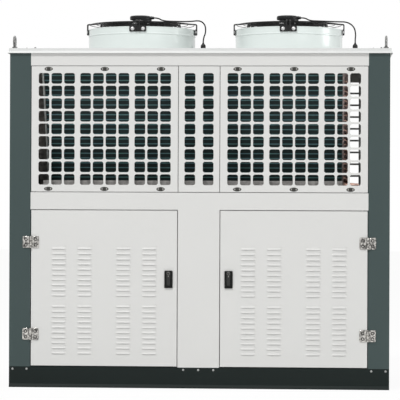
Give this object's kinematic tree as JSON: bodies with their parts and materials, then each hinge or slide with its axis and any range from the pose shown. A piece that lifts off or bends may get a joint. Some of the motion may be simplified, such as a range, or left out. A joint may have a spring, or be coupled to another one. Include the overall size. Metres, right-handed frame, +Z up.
{
  "type": "refrigeration condensing unit",
  "caption": "Box-type condensing unit: louvred machine compartment with hinged doors below, perforated coil section and top-mounted axial fans above.",
  "frame": {"origin": "middle of the base's four anchor holes, on the floor", "axes": "+Z up, -Y out of the front with the doors, +X to the right seen from the front"},
  "size_m": [1.926, 0.9264, 1.8953],
  "materials": {
    "base_paint": "near-black paint, satin",
    "blade_black": "black, semi-matte",
    "box_paint": "light grey powder coat",
    "bright_steel": "zinc-plated",
    "cable_black": "smooth black sheath",
    "clamp_grey": "dark grey cast clamps",
    "coil_copper": "bare copper tube",
    "coil_fins": "dark coated fins",
    "galvanised": "galvanised sheet",
    "guard_black": "black powder coat",
    "hinge_chrome": "polished",
    "lock_black": "moulded black",
    "machine_paint": "black enamel",
    "motor_black": "black, semi-matte",
    "panel_paint": "light warm grey powder coat",
    "post_paint": "dark grey-green powder coat, satin",
    "ring_paint": "pale powder coat",
    "roof_paint": "white powder coat",
    "seal_rubber": "soft black foam rubber"
  },
  "bodies": {
    "cabinet": {"base_frame": "base_paint", "cable_glands": "cable_black", "coil_end_plates": "galvanised", "coil_return_bends": "coil_copper", "compressor": "machine_paint", "control_box": "box_paint", "control_box_stand": "galvanised", "discharge_line": "coil_copper", "door_seals": "seal_rubber", "drain_line": "coil_copper", "fan_motors": "motor_black", "floor_deck": "base_paint", "frame_screws": "bright_steel", "front_centre_grille": "panel_paint", "front_centre_panel": "panel_paint", "front_coil": "coil_fins", "front_left_grille": "panel_paint", "front_left_post": "post_paint", "front_mid_rail": "panel_paint", "front_right_grille": "panel_paint", "front_right_post": "post_paint", "guard_bolts": "bright_steel", "hinge_pins": "hinge_chrome", "hinge_post_leaves": "hinge_chrome", "left_fan_cable": "cable_black", "left_fan_guard": "guard_black", "left_fan_ring": "ring_paint", "left_side_panel": "panel_paint", "lifting_eyes": "bright_steel", "liquid_line": "coil_copper", "liquid_receiver": "machine_paint", "panel_fasteners": "clamp_grey", "rear_coil": "coil_fins", "rear_grilles": "panel_paint", "rear_left_post": "post_paint", "rear_lower_panels": "panel_paint", "rear_mid_rail": "panel_paint", "rear_right_post": "post_paint", "right_fan_cable": "cable_black", "right_fan_guard": "guard_black", "right_fan_ring": "ring_paint", "right_side_panel": "panel_paint", "roof_panel": "roof_paint", "section_deck": "galvanised", "suction_line": "coil_copper", "top_rails": "panel_paint"},
    "left_door": {"left_door": "panel_paint", "left_hinge_door_leaves": "hinge_chrome", "left_lock_housing": "lock_black"},
    "right_door": {"right_door": "panel_paint", "right_hinge_door_leaves": "hinge_chrome", "right_lock_housing": "lock_black"},
    "left_lever": {"left_lock_lever": "lock_black", "left_lock_cam": "galvanised"},
    "right_lever": {"right_lock_lever": "lock_black", "right_lock_cam": "galvanised"},
    "left_fan": {"left_fan_impeller": "blade_black"},
    "right_fan": {"right_fan_impeller": "blade_black"}
  },
  "joints": [
    {"name": "left_door_hinge", "type": "hinge", "parent": "cabinet", "child": "left_door", "pos_m": [-0.842, -0.432, 0.497], "axis": [0, 0, -1], "range_deg": [0, 120]},
    {"name": "right_door_hinge", "type": "hinge", "parent": "cabinet", "child": "right_door", "pos_m": [0.842, -0.432, 0.497], "axis": [0, 0, 1], "range_deg": [0, 120]},
    {"name": "left_lever_turn", "type": "hinge", "parent": "left_door", "child": "left_lever", "pos_m": [-0.15, -0.43, 0.575], "axis": [0, -1, 0], "range_deg": [0, 90]},
    {"name": "right_lever_turn", "type": "hinge", "parent": "right_door", "child": "right_lever", "pos_m": [0.15, -0.43, 0.575], "axis": [0, 1, 0], "range_deg": [0, 90]},
    {"name": "left_fan_spin", "type": "hinge", "parent": "cabinet", "child": "left_fan", "pos_m": [-0.321, 0, 1.785], "axis": [0, 0, 1], "continuous": true},
    {"name": "right_fan_spin", "type": "hinge", "parent": "cabinet", "child": "right_fan", "pos_m": [0.441, 0, 1.785], "axis": [0, 0, 1], "continuous": true}
  ]
}
